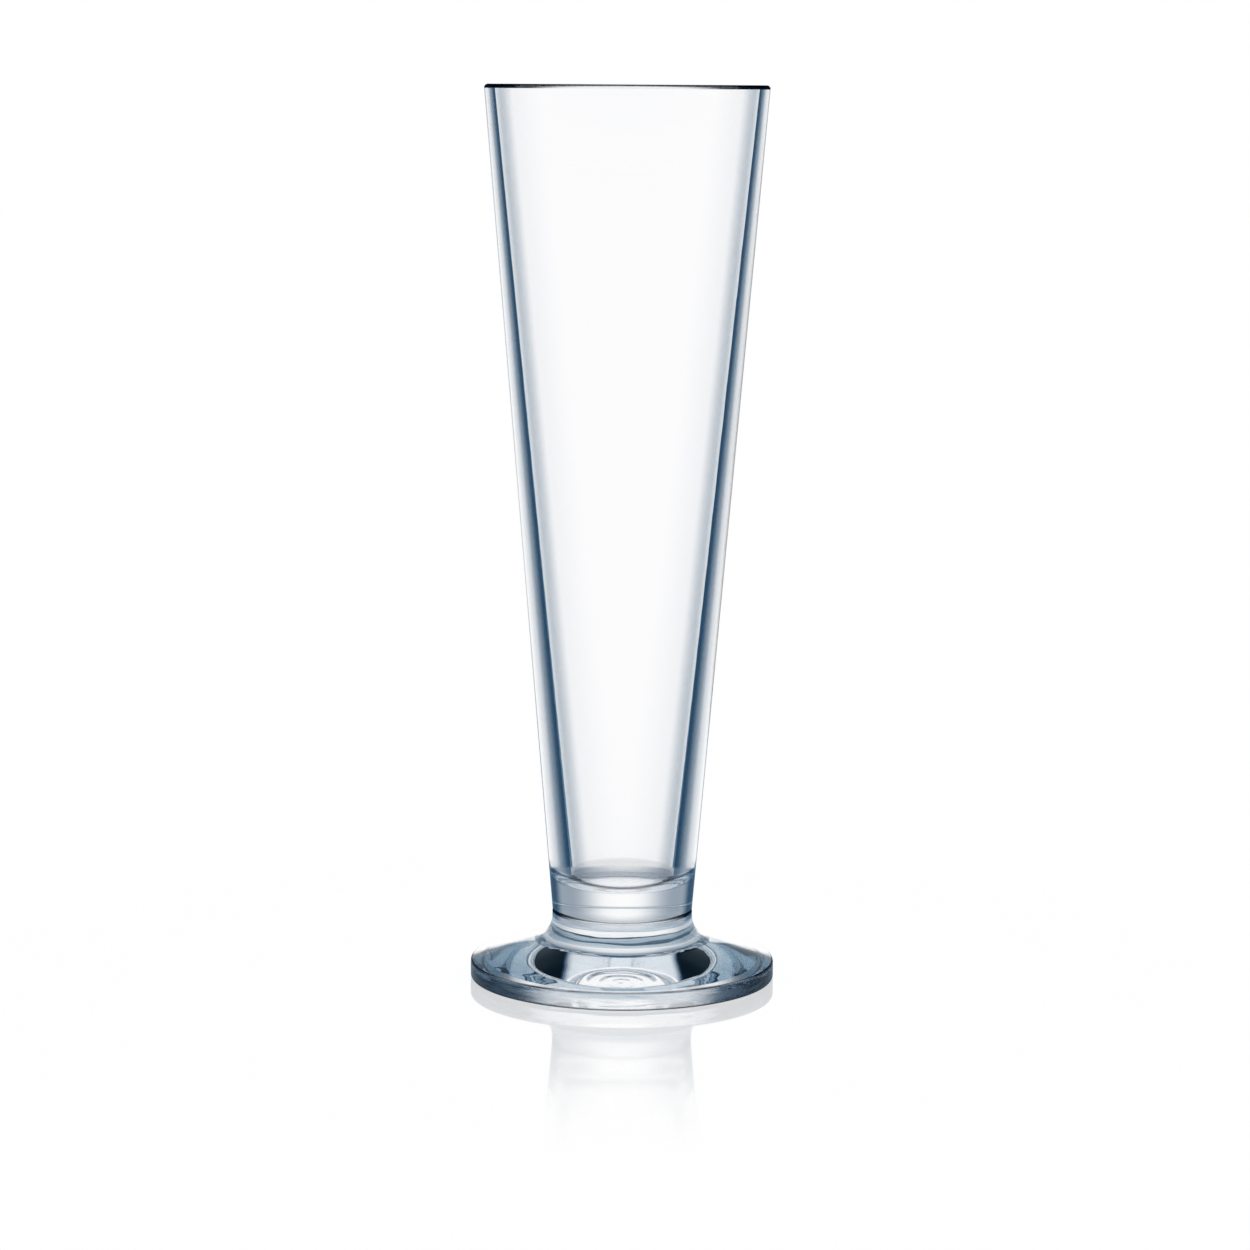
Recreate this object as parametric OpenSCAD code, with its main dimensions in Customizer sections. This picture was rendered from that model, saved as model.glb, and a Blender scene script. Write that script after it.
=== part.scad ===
/* [Bowl] */
// Height of the whole glass, from the table to the rim
glass_h = 240; // [200:1:290]
// Outer diameter at the rim
rim_d = 75.6; // [66:0.2:90]
// Wall thickness at the rim
lip_wall = 2.8; // [2:0.1:4]
// Rounding of the lip's outer and inner edge
lip_round = 1; // [0.4:0.1:1]
// Outer diameter of the taper where it ends at the seam
neck_d = 37.9; // [34:0.1:42]
// Thickness that the wall would have if it ran on down to the seam
root_wall = 6.1; // [4:0.1:7]
// Solid thickness between the drink and the seam
base_t = 6.95; // [5:0.05:16]
// Rounding between the inside wall and the inside floor
floor_round = 5; // [1:0.1:6]
// Diameter of the spigot that locates the bowl in the foot
spigot_d = 24; // [12:0.5:28]
// Depth of the spigot below the seam
spigot_h = 2; // [1:0.1:4]

/* [Foot] */
// Diameter of the foot
foot_d = 82.2; // [70:0.2:96]
// Height of the seam between foot and bowl above the table
seam_z = 18.5; // [18:0.1:24]
// Height of the foot's upright edge
edge_h = 4.8; // [3:0.1:5.2]
// Rounding of the foot's edge, top and bottom
edge_round = 0.6; // [0.2:0.1:1.4]
// Slope of the foot's top face, in degrees
flare_slope = 17.3; // [10:0.1:18]
// Radius of the sweep from the neck out to the top face
sweep_r = 6.8; // [4:0.1:7.4]
// Depth of the shallow recess in the underside
recess_h = 2; // [0.5:0.1:3]
// How much further out the recess's wall is at the bottom than at the top
recess_draft = 1.2; // [0.2:0.1:1.5]
// Width of the flat ring around the recess, which the glass stands on
ring_w = 3.3; // [2:0.1:14]

/* [Seam] */
// Rounding of the two edges that meet at the seam
seam_round = 0.9; // [0.4:0.1:1]
// Depth of the groove that these two edges leave around the seam
groove = 0.2; // [0.1:0.05:0.4]
// Layer of bonding cement around and under the spigot
cement = 0.15; // [0.05:0.05:0.3]

/* [Hidden] */
$fn = 128;
// Steps in each rounded corner of a profile
arc_steps = 12;
rim_r = rim_d / 2;
neck_r = neck_d / 2;
foot_r = foot_d / 2;
spigot_r = spigot_d / 2;
recess_r = foot_r - edge_round - ring_w;
floor_z = seam_z + base_t;

// Slopes of the wall's two faces, as radius gained per unit of height
wall_h = glass_h - seam_z;
outer_rise = (rim_r - neck_r) / wall_h;
inner_rise = (rim_r - lip_wall - neck_r + root_wall) / wall_h;
function outer_r(z) = rim_r - (glass_h - z) * outer_rise;
function inner_r(z) = rim_r - lip_wall - (glass_h - z) * inner_rise;

// Points of an arc around a centre, from one angle to another
function arc(centre, radius, from, to) =
  [for (i = [0:arc_steps]) let (a = from + (to - from) * i / arc_steps)
    centre + radius * [cos(a), sin(a)]];

// Angles of the wall's faces from the upright
outer_lean = atan(outer_rise);
inner_lean = atan(inner_rise);

// Centre of the lip's outer rounding, which touches the outside and the top
lip_out_c = [outer_r(glass_h - lip_round) - lip_round / cos(outer_lean), glass_h - lip_round];
// Centre of its inner rounding, which touches the top and the inside
lip_in_c = [inner_r(glass_h - lip_round) + lip_round / cos(inner_lean), glass_h - lip_round];
// Centre of the rounding at the inside floor
floor_c = [inner_r(floor_z + floor_round) - floor_round / cos(inner_lean), floor_z + floor_round];

// The seam's roundings end at the groove's bottom, this far round from the upright face
seam_turn = acos(1 - groove / seam_round);
seam_rise = seam_round * sin(seam_turn);

// Top face of the foot: a cone that ends at the upright edge
function flare_z(r) = edge_h + (foot_r - r) * tan(flare_slope);
// Centre of the sweep, which touches the neck and the cone
sweep_x = neck_r + sweep_r;
sweep_c = [sweep_x, flare_z(sweep_x) + sweep_r / cos(flare_slope)];
// Centre of the rounding at the top of the foot's upright edge
edge_x = foot_r - edge_round;
edge_c = [edge_x, flare_z(edge_x) - edge_round / cos(flare_slope)];

// One half of the bowl's section, from the axis round to the axis
function bowl_section() = concat(
  [[0, seam_z - spigot_h], [spigot_r, seam_z - spigot_h], [spigot_r, seam_z]],
  arc([neck_r - seam_round, seam_z + seam_rise], seam_round, -seam_turn, 0),
  arc(lip_out_c, lip_round, -outer_lean, 90),
  arc(lip_in_c, lip_round, 90, 180 - inner_lean),
  arc(floor_c, floor_round, -inner_lean, -90),
  [[0, floor_z]]);

// One half of the foot's section, from the axis round to the axis
function foot_section() = concat(
  [[0, recess_h], [recess_r - recess_draft, recess_h], [recess_r, 0]],
  arc([edge_x, edge_round], edge_round, -90, 0),
  arc(edge_c, edge_round, 0, 90 - flare_slope),
  arc(sweep_c, sweep_r, 270 - flare_slope, 180),
  arc([neck_r - seam_round, seam_z - seam_rise], seam_round, 0, seam_turn),
  [[spigot_r + cement, seam_z], [spigot_r + cement, seam_z - spigot_h - cement]],
  [[0, seam_z - spigot_h - cement]]);

module bowl() {
  color([0.93, 0.96, 0.98, 0.4])
    rotate_extrude() polygon(bowl_section());
}

module foot() {
  color([0.72, 0.8, 0.87, 0.5])
    rotate_extrude() polygon(foot_section());
}

bowl();
foot();
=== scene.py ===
import math
import bmesh
import bpy
from mathutils import Euler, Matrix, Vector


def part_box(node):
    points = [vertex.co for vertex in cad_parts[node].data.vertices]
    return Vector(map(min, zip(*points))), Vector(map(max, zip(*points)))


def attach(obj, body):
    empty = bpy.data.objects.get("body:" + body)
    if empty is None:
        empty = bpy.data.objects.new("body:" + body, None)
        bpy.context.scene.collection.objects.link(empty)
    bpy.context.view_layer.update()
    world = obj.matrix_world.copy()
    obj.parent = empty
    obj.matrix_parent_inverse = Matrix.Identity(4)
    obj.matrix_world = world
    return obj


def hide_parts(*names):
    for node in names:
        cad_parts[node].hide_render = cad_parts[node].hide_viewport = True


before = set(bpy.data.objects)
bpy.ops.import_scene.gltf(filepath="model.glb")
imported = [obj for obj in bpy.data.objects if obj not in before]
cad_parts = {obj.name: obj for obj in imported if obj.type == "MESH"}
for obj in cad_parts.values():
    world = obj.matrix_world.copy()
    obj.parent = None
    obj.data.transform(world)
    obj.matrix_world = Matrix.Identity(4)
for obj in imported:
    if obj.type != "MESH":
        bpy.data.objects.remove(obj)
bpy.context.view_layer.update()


# Bowl
# The tall tapered vessel: one clear plastic moulding with a thick wall, a rounded lip and a solid
# base. It is polished all over, and its underside is cemented into the foot, so it doesn't show.
bowl_low, bowl_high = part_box("bowl")
foot_low, foot_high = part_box("foot")
glass_height = bowl_high.z
rim_radius = 0.0378
lip_wall = 0.0028
lip_rounding = 0.001
seam_height = foot_high.z
neck_radius = 0.01895
root_wall = 0.0061
base_thickness = 0.00695
floor_rounding = 0.005
spigot_radius = 0.012
spigot_bottom = bowl_low.z
seam_rounding = 0.0009
groove_depth = 0.0002
floor_height = seam_height + base_thickness

wall_height = glass_height - seam_height
outer_rise = (rim_radius - neck_radius) / wall_height
inner_rise = (rim_radius - lip_wall - neck_radius + root_wall) / wall_height
outer_lean = math.atan(outer_rise)
inner_lean = math.atan(inner_rise)
seam_turn = math.acos(1 - groove_depth / seam_rounding)
seam_rise = seam_rounding * math.sin(seam_turn)


def outer_radius(z):
    """Radius of the bowl's outside at a height; z may be a number or a material's value."""
    return rim_radius - (glass_height - z) * outer_rise


def inner_radius(z):
    """Radius of the bowl's inside at a height."""
    return rim_radius - lip_wall - (glass_height - z) * inner_rise


def arc(centre, radius, start, end, steps):
    """Points of an arc in the plane of radius and height, between two angles in radians."""
    turns = [start + (end - start) * i / steps for i in range(steps + 1)]
    return [(centre[0] + radius * math.cos(t), centre[1] + radius * math.sin(t)) for t in turns]


def straight(start, end, hold=0.00004):
    """A straight stretch with a point held close to each end, which keeps the shading true
    up to the corner."""
    span = math.dist(start, end)
    shares = [0, hold / span, 1 - hold / span, 1] if span > 4 * hold else [0, 1]
    return [(start[0] + (end[0] - start[0]) * share, start[1] + (end[1] - start[1]) * share)
            for share in shares]


def turned(name, stretches, sectors=320, crease=math.radians(32), same_point=1e-8):
    """A body of revolution. Each stretch of its outline is a list of points with the slot of
    its material."""
    body = bmesh.new()
    last_ring = None
    last_point = None
    for points, slot in stretches:
        for radius, z in points:
            if last_point and math.dist(last_point, (radius, z)) < same_point:
                continue
            last_point = (radius, z)
            angles = [math.tau * i / sectors for i in range(sectors if radius > 0 else 1)]
            ring = [body.verts.new((radius * math.cos(a), radius * math.sin(a), z)) for a in angles]
            if last_ring:
                for i in range(sectors):
                    one, two = last_ring[i % len(last_ring)], last_ring[(i + 1) % len(last_ring)]
                    far, near = ring[(i + 1) % len(ring)], ring[i % len(ring)]
                    corners = list(dict.fromkeys([one, two, far, near]))
                    if len(corners) > 2:
                        body.faces.new(corners).material_index = slot
            last_ring = ring
    bmesh.ops.recalc_face_normals(body, faces=body.faces)
    mesh = bpy.data.meshes.new(name)
    body.to_mesh(mesh)
    body.free()
    mesh.shade_smooth()
    mesh.set_sharp_from_angle(angle=crease)
    piece = bpy.data.objects.new(name, mesh)
    bpy.context.collection.objects.link(piece)
    return piece


OUTSIDE, INSIDE, BONDED, LIP, SEAM, CORNER, LIP_TOP, FLOOR = range(8)
half_turn = math.pi
quarter = math.pi / 2
lip_base = glass_height - lip_rounding
lip_out = (outer_radius(lip_base) - lip_rounding / math.cos(outer_lean), lip_base)
lip_in = (inner_radius(lip_base) + lip_rounding / math.cos(inner_lean), lip_base)
corner_z = floor_height + floor_rounding
corner = (inner_radius(corner_z) - floor_rounding / math.cos(inner_lean), corner_z)
seam_centre = (neck_radius - seam_rounding, seam_height + seam_rise)
seam_edge = arc(seam_centre, seam_rounding, -seam_turn, 0, steps=8)
lip_outside = arc(lip_out, lip_rounding, -outer_lean, quarter, steps=16)
lip_inside = arc(lip_in, lip_rounding, quarter, half_turn - inner_lean, steps=16)
inside_corner = arc(corner, floor_rounding, -inner_lean, -quarter, steps=32)
spigot = [(0, spigot_bottom), (spigot_radius, spigot_bottom), (spigot_radius, seam_height)]
bowl = turned("clear_bowl", [
    (spigot + seam_edge[:1], BONDED),
    (seam_edge, SEAM),
    (straight(seam_edge[-1], lip_outside[0]), OUTSIDE),
    (lip_outside, LIP),
    (straight(lip_outside[-1], lip_inside[0]), LIP_TOP),
    (lip_inside, LIP),
    (straight(lip_inside[-1], inside_corner[0]), INSIDE),
    (inside_corner, CORNER),
    (straight(inside_corner[-1], (0, floor_height)), FLOOR),
])


class Value:
    """An output of a material's node. Sums and products of values add the Math nodes that
    work them out."""

    def __init__(self, nodes, socket):
        self.nodes = nodes
        self.socket = socket

    def math(self, operation, *terms):
        return self.nodes.add("ShaderNodeMath", {"operation": operation}, dict(enumerate(terms)))

    def __add__(self, other):
        return self.math("ADD", self, other)

    __radd__ = __add__

    def __sub__(self, other):
        return self.math("SUBTRACT", self, other)

    def __rsub__(self, other):
        return self.math("SUBTRACT", other, self)

    def __mul__(self, other):
        return self.math("MULTIPLY", self, other)

    __rmul__ = __mul__

    def __truediv__(self, other):
        return self.math("DIVIDE", self, other)

    def __pow__(self, other):
        return self.math("POWER", self, other)

    def __lt__(self, other):
        return self.math("LESS_THAN", self, other)

    def __gt__(self, other):
        return self.math("GREATER_THAN", self, other)


class Nodes:
    """The nodes of one material or of the world."""

    def __init__(self, owner):
        owner.use_nodes = True
        self.tree = owner.node_tree
        self.tree.nodes.clear()

    def add(self, kind, settings=None, sockets=None, output=0):
        """Adds a node of a type, with its settings and then the values or links of its sockets."""
        node = self.tree.nodes.new(kind)
        for setting, value in (settings or {}).items():
            setattr(node, setting, value)
        for key, value in (sockets or {}).items():
            if isinstance(value, Value):
                self.tree.links.new(value.socket, node.inputs[key])
            else:
                node.inputs[key].default_value = value
        return Value(self, node.outputs[output])

    def finish(self, kind, shader):
        """Adds the output node and links the finished shader to it."""
        self.tree.links.new(shader.socket, self.tree.nodes.new(kind).inputs["Surface"])

    def vector(self, operation, *terms):
        """A vector worked out from others."""
        return self.add("ShaderNodeVectorMath", {"operation": operation}, dict(enumerate(terms)))

    def outwards(self):
        """The level direction straight out from the glass's axis."""
        place = self.add("ShaderNodeTexCoord", output="Object")
        return self.vector("NORMALIZE", self.vector("MULTIPLY", place, (1, 1, 0)))

    def facing(self, direction=None):
        """How aslant a face is met, or a direction: from 0 straight on to 1 edge-on."""
        sockets = {"Blend": 0.5, "Normal": direction} if direction else {"Blend": 0.5}
        return self.add("ShaderNodeLayerWeight", None, sockets, output="Facing")

    def light_path(self, question):
        """What the light's path answers about itself."""
        return self.add("ShaderNodeLightPath", output=question)

    def mixed(self, share, one, other):
        """The share of the other shader in place of the one."""
        return self.add("ShaderNodeMixShader", None, {0: share, 1: one, 2: other})

    def greatest(self, one, other):
        """The greater of two values."""
        return one.math("MAXIMUM", one, other)

    def between(self, value, low, high, start=0.0, end=1.0):
        """A smooth step of a value from one level to another."""
        return self.add("ShaderNodeMapRange", {"interpolation_type": "SMOOTHSTEP"}, {
            "Value": value, "From Min": low, "From Max": high, "To Min": start, "To Max": end})

    def added_steps(self, value, steps):
        """Smooth steps added up, each a list of what between takes after the value."""
        return sum(self.between(value, *step) for step in steps)


def written(red, green, blue):
    """A colour as a screen shows it, from 0 to 255, in the linear values that a shader takes."""
    shares = [c / 255 for c in (red, green, blue)]
    return (*[s / 12.92 if s <= 0.04045 else ((s + 0.055) / 1.055) ** 2.4 for s in shares], 1)


clear_index = 1.50
clear_colour = (0.985, 0.985, 0.99, 1)
shadow_colour = (0.90, 0.925, 0.95, 1)
white = (1, 1, 1, 1)
# Painted shade tints: the dark glass that each shade function mixes in for bands, outlines and
# lines
painted_shade_blue = written(100, 132, 156)
painted_seam_shade = written(20, 36, 52)
painted_lip_shade = written(16, 30, 42)
painted_corner_shade = written(40, 64, 84)


class Sight:
    """How a line of sight meets a face. Its reach is the sine of its angle to the face times the
    index: from inside, more than 1 is turned back into the glass."""

    def __init__(self, nodes):
        self.place = nodes.add("ShaderNodeTexCoord", output="Object")
        self.height = nodes.add("ShaderNodeSeparateXYZ", None, {0: self.place}, output="Z")
        self.facing = nodes.facing()
        self.from_inside = nodes.add("ShaderNodeNewGeometry", output="Backfacing")
        straight_on = 1 - self.facing
        self.reach = (1 - straight_on * straight_on) ** 0.5 * clear_index

    def from_outside(self):
        return 1 - self.from_inside

    def across(self):
        """How far from the axis it passes: 0 through the axis, 1 at the outline."""
        return self.reach * (1 - self.from_outside() * (1 - 1 / clear_index))


def lit_through(nodes, surface):
    """Gives a light's shadow ray a faint tint in place of the surface, for the soft shadow on
    the table."""
    let_through = nodes.add("ShaderNodeBsdfTransparent", None, {"Color": shadow_colour})
    return nodes.mixed(nodes.light_path("Is Shadow Ray"), surface, let_through)


def clear_plastic(name, painted_shade_colour, shade, waves, stretch=1.0, sheen=None, rings=None):
    """Clear moulded plastic with painted shade. What shade returns is the share of the light that
    it takes out through glass of the painted shade colour, darker and bluer, and what sheen returns
    is the share that is mirrored. The waves, and the rings that a turned mould leaves, are each
    given as their spacing and their depth."""
    material = bpy.data.materials.new(name)
    nodes = Nodes(material)
    sight = Sight(nodes)
    wave_spacing, wave_depth = waves
    ripple = nodes.add("ShaderNodeTexNoise", None, {
        "Vector": nodes.vector("MULTIPLY", sight.place, (1, 1, stretch)),
        "Scale": 1 / wave_spacing, "Detail": 1.5, "Roughness": 0.4})
    relief = nodes.add("ShaderNodeBump", None, {
        "Strength": 1.0, "Distance": wave_depth, "Height": ripple})
    if rings:
        ring_spacing, ring_depth = rings
        ring_pace = 20  # radians that the node runs through per unit of length, at a scale of 1
        turning = nodes.add("ShaderNodeTexWave", {"wave_type": "RINGS", "rings_direction": "Z"}, {
            "Vector": sight.place, "Scale": math.tau / ring_pace / ring_spacing})
        relief = nodes.add("ShaderNodeBump", None, {
            "Strength": 1.0, "Distance": ring_depth, "Height": turning, "Normal": relief})
    clear = nodes.add("ShaderNodeBsdfPrincipled", None, {
        "Base Color": clear_colour, "Roughness": 0.0, "IOR": clear_index,
        "Transmission Weight": 1.0, "Normal": relief})
    dark = nodes.add("ShaderNodeBsdfGlass", None, {
        "Color": painted_shade_colour, "Roughness": 0.0, "IOR": clear_index, "Normal": relief})
    surface = nodes.mixed(shade(nodes, sight), clear, dark)
    if sheen:
        mirror = nodes.add("ShaderNodeBsdfAnisotropic", None, {"Color": white, "Roughness": 0.0})
        surface = nodes.mixed(sheen(nodes, sight), surface, mirror)
    nodes.finish("ShaderNodeOutputMaterial", lit_through(nodes, surface))
    return material


def seam_face(name):
    """The groove's rounded faces: a painted shade line where they turn away, but closed by cement
    from inside, where they act as a plain upright wall with the stem's painted shade bands."""
    material = bpy.data.materials.new(name)
    nodes = Nodes(material)
    sight = Sight(nodes)
    inwards = nodes.add("ShaderNodeVectorMath", {"operation": "SCALE"}, {
        0: nodes.outwards(), "Scale": -1.0})

    def glass(colour, sockets):
        return nodes.add("ShaderNodeBsdfGlass", None, {
            "Color": colour, "Roughness": 0.0, "IOR": clear_index, **sockets})

    line_share = nodes.between(sight.facing, 0.05, 0.55, 0.2, 1.0)
    line = nodes.mixed(line_share, glass(clear_colour, {}), glass(painted_seam_shade, {}))
    closed = {"Normal": inwards}
    share = base_bands(nodes, sight)
    behind = nodes.mixed(share, glass(clear_colour, closed), glass(painted_shade_blue, closed))
    surface = nodes.mixed(sight.from_inside, line, behind)
    nodes.finish("ShaderNodeOutputMaterial", lit_through(nodes, surface))
    return material


def bonded_face(name):
    """A face that clear cement has made one with its neighbour, so that light crosses it unbent."""
    material = bpy.data.materials.new(name)
    nodes = Nodes(material)
    through = nodes.add("ShaderNodeBsdfTransparent", None, {"Color": white})
    nodes.finish("ShaderNodeOutputMaterial", through)
    return material


# Painted shade in the wall, by the share of its thickness that the line of sight passes within it
wall_steps = [(0.0, 0.45, 0.0, 0.26), (0.35, 0.6, 0.0, 0.36), (0.55, 0.9, 0.0, 0.38)]
# Painted shade beside the wall, by the distance inwards from its inside face
shoulder_steps = [(0.0012, 0.0046, 0.26, 0.0), (0.001, 0.013, 0.07, 0.0), (0.0, 0.0012, -0.13, 0.0)]
# Painted shade across the solid stem, from the axis to the outline
base_steps = [(0.25, 0.75, 0.0, 0.53), (0.85, 0.97, 0.0, 0.55)]
# The wall's painted shade bands give way to the base's between these heights, along a line that
# sags in front
wall_bands_from = floor_height + 0.0038
wall_bands_full = floor_height + 0.0048
bands_sag = 0.0045


def wall_bands(nodes, offset, height):
    """Painted shade on both faces, darker towards the inside face's outline, where offset is 1, and
    softly on inwards from there."""
    thickness = outer_radius(height) / inner_radius(height) - 1
    band = nodes.added_steps(1 - (offset - 1) / thickness, wall_steps)
    shoulder = nodes.added_steps((1 - offset) * inner_radius(height), shoulder_steps)
    past = offset > 1
    return past * band + (1 - past) * shoulder


def base_bands(nodes, sight):
    """Painted shade on the solid stem, darker in two steps towards its outline."""
    across = sight.across()
    return nodes.added_steps(across, base_steps) * (across < 1)


def outside_shade(nodes, sight):
    """Painted shade: the bands from without, the solid base's own below them, the dark outlines,
    and a dark tint on the light that is caught in the wall."""
    height = sight.height
    offset = sight.reach * (1 / clear_index) * outer_radius(height) / inner_radius(height)
    across = sight.across()
    sag = bands_sag * (1 - across * across) ** 0.5 * (1 - 2 * sight.from_inside)
    in_wall = nodes.between(height - sag, wall_bands_from, wall_bands_full)
    base = base_bands(nodes, sight) * (1 - in_wall)
    bands = wall_bands(nodes, offset, height) * in_wall
    painted_caught_shade = nodes.between(sight.reach, 1.2, 1.4)
    bowl_outline = nodes.between(sight.facing, 0.84, 0.92) * \
        nodes.between(height, 0.05, 0.12, 0.95, 0.55)
    stem_outline = nodes.between(sight.facing, 0.74, 0.86, 0.0, 0.9) * \
        nodes.between(height, 0.03, 0.033, 1.0, 0.0)
    outline = nodes.greatest(base + bands, bowl_outline + stem_outline)
    return sight.from_inside * (base + painted_caught_shade) + sight.from_outside() * outline


def inside_shade(nodes, sight):
    """Painted shade bands, as the inside face shows them through the wall."""
    first_meeting = nodes.light_path("Ray Depth") < 1.5
    return sight.from_inside * first_meeting * wall_bands(nodes, sight.reach, sight.height)


def lip_shade(nodes, sight):
    """Painted shade on the lip's rounding: dark all over at both ends of the rim, and only along
    its top in between. It is lighter when the rim is seen from above."""
    seen_directly = nodes.light_path("Ray Depth") < 2.5
    ends = nodes.between(nodes.facing(nodes.outwards()), 0.12, 0.4)
    top = nodes.between(sight.facing, 0.06, 0.3, 0.1, 0.94)
    from_the_side = nodes.facing(nodes.vector("NORMALIZE", (0, 0, 1)))
    strength = nodes.between(from_the_side, 0.55, 0.92, 0.5, 1.0)
    return seen_directly * strength * nodes.greatest(ends, top)


def lip_top_shade(nodes, sight):
    """Painted shade on the flat of the lip, lighter than on its roundings."""
    return 0.4


def corner_shade(nodes, sight):
    """Painted shade: dark arcs along the rounding at the inside floor."""
    from_below = nodes.between(sight.reach, 0.88, 1.0, 0.0, 0.8) - \
        nodes.between(sight.reach, 1.02, 1.2, 0.0, 0.8)
    from_above = nodes.between(
        sight.height, floor_height + 0.0035, floor_height + 0.0052, 0.2, 0.0)
    return sight.from_inside * from_below + sight.from_outside() * from_above


wall_waves = (0.03, 0.000008)
corner_waves = (0.012, 0.0001)
floor_rings = (0.0027, 0.00006)
bowl_skins = {
    OUTSIDE: clear_plastic("bowl_outside", painted_shade_blue, outside_shade, wall_waves),
    INSIDE: clear_plastic("bowl_inside", painted_shade_blue, inside_shade, wall_waves),
    BONDED: bonded_face("bowl_bonded"),
    LIP: clear_plastic("bowl_lip", painted_lip_shade, lip_shade, wall_waves),
    SEAM: seam_face("bowl_seam"),
    CORNER: clear_plastic("bowl_corner", painted_corner_shade, corner_shade, corner_waves, stretch=5.0),
    LIP_TOP: clear_plastic("bowl_lip_top", painted_shade_blue, lip_top_shade, wall_waves),
    FLOOR: clear_plastic("bowl_floor", painted_shade_blue, inside_shade, wall_waves, rings=floor_rings),
}
for slot in sorted(bowl_skins):
    bowl.data.materials.append(bowl_skins[slot])
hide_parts("bowl")
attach(bowl, "root")


# Foot
# The flared round foot: a second clear moulding, with a shallow recess below and a socket for the
# bowl. Its polished top sweeps up into the neck, and a fine groove shows where the two were joined.
foot_radius = foot_high.x
edge_height = 0.0048
edge_rounding = 0.0006
flare_slope = math.radians(17.3)
sweep_radius = 0.0068
recess_depth = 0.002
recess_draft = 0.0012
ring_width = 0.0033
edge_x = foot_radius - edge_rounding
recess_radius = edge_x - ring_width
recess_corner = (recess_radius - recess_draft, recess_depth)
ring_inner = (recess_radius, foot_low.z)


def flare_height(radius):
    """Height of the foot's conical top face."""
    return edge_height + (foot_radius - radius) * math.tan(flare_slope)


TOP, UNDER, FOOT_BONDED, RECESS_WALL, EDGE, FOOT_SEAM, NECK, RIM, SWEEP = range(9)
sweep_x = neck_radius + sweep_radius
sweep_centre = (sweep_x, flare_height(sweep_x) + sweep_radius / math.cos(flare_slope))
edge_centre = (edge_x, flare_height(edge_x) - edge_rounding / math.cos(flare_slope))
seam_centre = (neck_radius - seam_rounding, seam_height - seam_rise)
under_edge = arc((edge_x, edge_rounding), edge_rounding, -quarter, 0, steps=10)
top_edge = arc(edge_centre, edge_rounding, 0, quarter - flare_slope, steps=10)
sweep = arc(sweep_centre, sweep_radius, 3 * quarter - flare_slope, half_turn, steps=48)
seam_lip = arc(seam_centre, seam_rounding, 0, seam_turn, steps=8)
foot = turned("clear_foot", [
    (straight((0, recess_depth), recess_corner), UNDER),
    (straight(recess_corner, ring_inner), RECESS_WALL),
    (straight(ring_inner, under_edge[0]), UNDER),
    (under_edge, EDGE),
    (straight(under_edge[-1], top_edge[0]), RIM),
    (top_edge, EDGE),
    (straight(top_edge[-1], sweep[0]), TOP),
    (sweep, SWEEP),
    (straight(sweep[-1], seam_lip[0]), NECK),
    (seam_lip, FOOT_SEAM),
    (seam_lip[-1:] + spigot[::-1], FOOT_BONDED),
])


def top_shade(nodes, sight):
    """Painted shade: light that the top turns back into the foot is tinted darker, less so near the
    sweep up to the neck."""
    turned_back_shade = nodes.between(sight.reach, 0.97, 1.0)
    return sight.from_inside * turned_back_shade * nodes.between(sight.height, 0.009, 0.013, 1.0, 0.35)


def top_sheen(nodes, sight):
    """The far half of the top, met almost edge-on, mirrors the white backdrop."""
    edge_on = nodes.between(sight.facing, 0.8, 0.86)
    return sight.from_outside() * edge_on * nodes.between(sight.height, 0.0112, 0.014, 1.0, 0.0)


def sweep_shade(nodes, sight):
    """Painted shade on the sweep up to the neck, greyer than the top, both ways through it."""
    turned_back_shade = nodes.between(sight.reach, 0.97, 1.0, 0.0, 0.35)
    bands = base_bands(nodes, sight) * nodes.between(sight.height, 0.011, 0.014)
    return sight.from_inside * nodes.greatest(turned_back_shade, bands) + \
        sight.from_outside() * nodes.between(sight.facing, 0.12, 0.5, 0.1, 0.6)


def under_shade(nodes, sight):
    """The underside mirrors the glass above it fully."""
    return 0.0


def recess_shade(nodes, sight):
    """Painted shade on the recess's short wall, darker where it is seen aslant, towards both sides.
    """
    return nodes.between(sight.reach, 0.7, 1.05)


def edge_shade(nodes, sight):
    """Painted shade: the rounded edges are dark lines along the front and the sides."""
    return sight.from_outside() * nodes.between(sight.facing, 0.1, 0.6, 0.45, 0.9) * \
        nodes.between(sight.facing, 0.82, 0.95, 1.0, 0.2)


def rim_shade(nodes, sight):
    """Painted shade on the upright edge of the foot: light in front and darker early towards both
    sides.
    """
    return sight.from_outside() * nodes.between(sight.facing, 0.08, 0.3, 0.0, 0.85)


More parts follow.
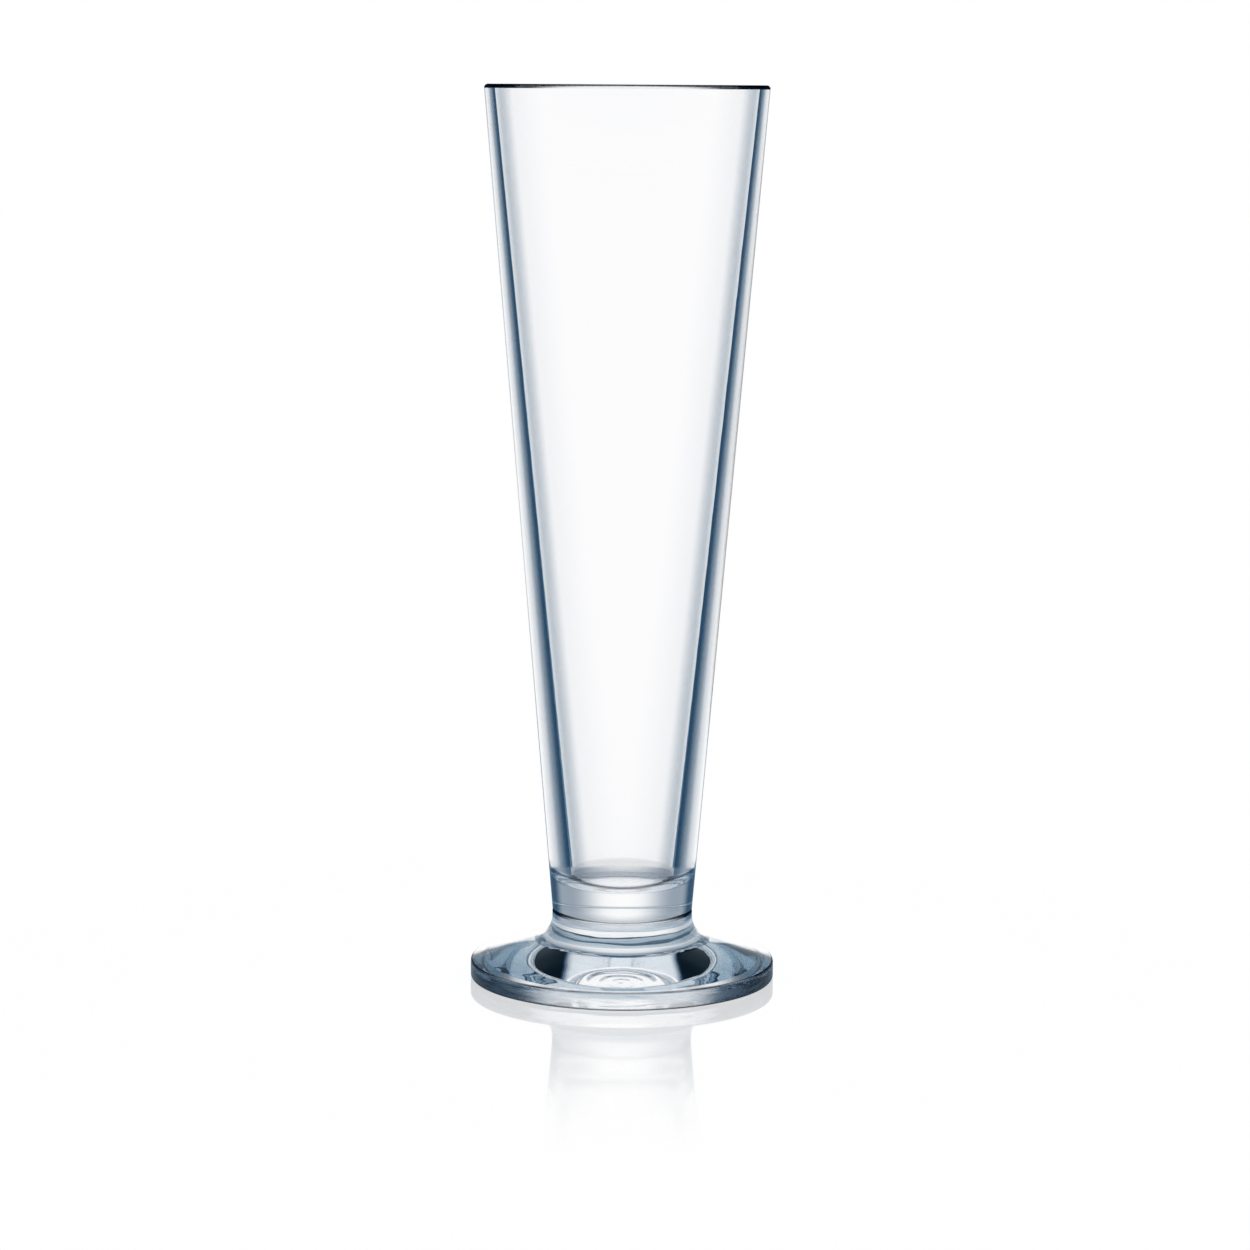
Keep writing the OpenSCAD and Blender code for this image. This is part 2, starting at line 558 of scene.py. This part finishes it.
# Painted shade tints of the foot: the dark glass that its shade functions mix in
painted_top_shade = written(196, 210, 220)
painted_sweep_shade = written(125, 148, 165)
painted_recess_shade = written(78, 104, 124)
painted_edge_shade = written(34, 56, 76)
painted_rim_shade = written(80, 114, 138)
fine_waves = (0.012, 0.00001)
top_waves = (0.016, 0.0004)
sweep_waves = (0.02, 0.0004)
rim_waves = (0.03, 0.0006)
foot_skins = {
    TOP: clear_plastic("foot_top", painted_top_shade, top_shade, top_waves, sheen=top_sheen),
    UNDER: clear_plastic("foot_under", painted_shade_blue, under_shade, fine_waves),
    FOOT_BONDED: bonded_face("foot_bonded"),
    RECESS_WALL: clear_plastic("foot_recess_wall", painted_recess_shade, recess_shade, fine_waves),
    EDGE: clear_plastic("foot_edge", painted_edge_shade, edge_shade, fine_waves),
    FOOT_SEAM: seam_face("foot_seam"),
    NECK: clear_plastic("foot_neck", painted_shade_blue, base_bands, fine_waves),
    RIM: clear_plastic("foot_rim", painted_rim_shade, rim_shade, rim_waves, stretch=10.0),
    SWEEP: clear_plastic(
        "foot_sweep", painted_sweep_shade, sweep_shade, sweep_waves, stretch=5.0, sheen=top_sheen),
}
for slot in sorted(foot_skins):
    foot.data.materials.append(foot_skins[slot])
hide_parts("foot")
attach(foot, "root")


# Table and studio
# A white glossy table that runs out to a white backdrop, with soft light from all round.
# The glass is mirrored faintly in the table close to the foot.
table_reach = 6.0
table_drop = 0.00005
bpy.ops.mesh.primitive_grid_add(
    x_subdivisions=8, y_subdivisions=8, size=2 * table_reach, location=(0, 0, -table_drop))
table = bpy.context.object
table.name = "white_table"
table_finish = bpy.data.materials.new("white_gloss")
nodes = Nodes(table_finish)
glow_share = 0.85
gloss_share = 0.34
gloss_start, gloss_end = 0.042, 0.18
place = nodes.add("ShaderNodeTexCoord", output="Object")
away = nodes.add("ShaderNodeVectorMath", {"operation": "LENGTH"}, {0: place}, output="Value")
lit = nodes.add("ShaderNodeBsdfDiffuse", None, {"Color": white})
glow = nodes.add("ShaderNodeEmission", None, {"Color": white, "Strength": 1.0})
mirror = nodes.add("ShaderNodeBsdfAnisotropic", None, {"Color": white, "Roughness": 0.05})
gloss = nodes.between(away, gloss_start, gloss_end, gloss_share, 0.0)
paper = nodes.mixed(glow_share, lit, glow)
nodes.finish("ShaderNodeOutputMaterial", nodes.mixed(gloss, paper, mirror))
table.data.materials.append(table_finish)

world = bpy.data.worlds.new("studio")
bpy.context.scene.world = world
nodes = Nodes(world)
direction = nodes.add("ShaderNodeTexCoord", output="Generated")
rise = nodes.add("ShaderNodeSeparateXYZ", None, {0: direction}, output="Z")
seen_through = nodes.light_path("Is Transmission Ray")
mirrored_sharply = nodes.light_path("Is Glossy Ray") * (1 - seen_through) * \
    nodes.light_path("Is Singular Ray")
# What the glass shows of the studio: pale above where seen through, blue and dark where mirrored
studio_parts = [
    (nodes.between(rise, 0.25, 0.9) * seen_through, written(225, 233, 240)),
    (nodes.between(rise, 0.1, 0.25) * mirrored_sharply, written(160, 180, 194)),
    (nodes.between(rise, 0.3, 0.7) * mirrored_sharply, written(46, 82, 110)),
]
colour = white
for share, part_colour in studio_parts:
    colour = nodes.add(
        "ShaderNodeMix", {"data_type": "RGBA"}, {0: share, 6: colour, 7: part_colour}, output=2)
sky = nodes.add("ShaderNodeBackground", None, {"Color": colour, "Strength": 1.0})
nodes.finish("ShaderNodeOutputWorld", sky)

# Glass this thick sends light round inside itself many times before it comes out
most_bounces = 64
for limit in ("max_bounces", "glossy_bounces", "transmission_bounces", "transparent_max_bounces"):
    setattr(bpy.context.scene.cycles, limit, most_bounces)


# Camera
# Level with the rim, looking down at the foot, at the photograph's distance and angle.
camera_distance = 1.0
look_down = math.radians(8.183)
lean = math.radians(0.36)
view_pixels = 1250
focal_pixels = 3759
axis_offset_pixels = 1.0
lens = bpy.data.cameras.new("camera")
lens.sensor_width = 36.0
lens.lens = focal_pixels / view_pixels * lens.sensor_width
lens.clip_start = 0.01
lens.shift_x = axis_offset_pixels / view_pixels
camera = bpy.data.objects.new("camera", lens)
bpy.context.collection.objects.link(camera)
camera.location = (0, -camera_distance, glass_height)
camera.rotation_euler = Euler((quarter - look_down, 0, 0), "XYZ")
camera.rotation_euler.rotate_axis("Z", lean)
bpy.context.scene.camera = camera
bpy.context.scene.view_settings.view_transform = "Standard"
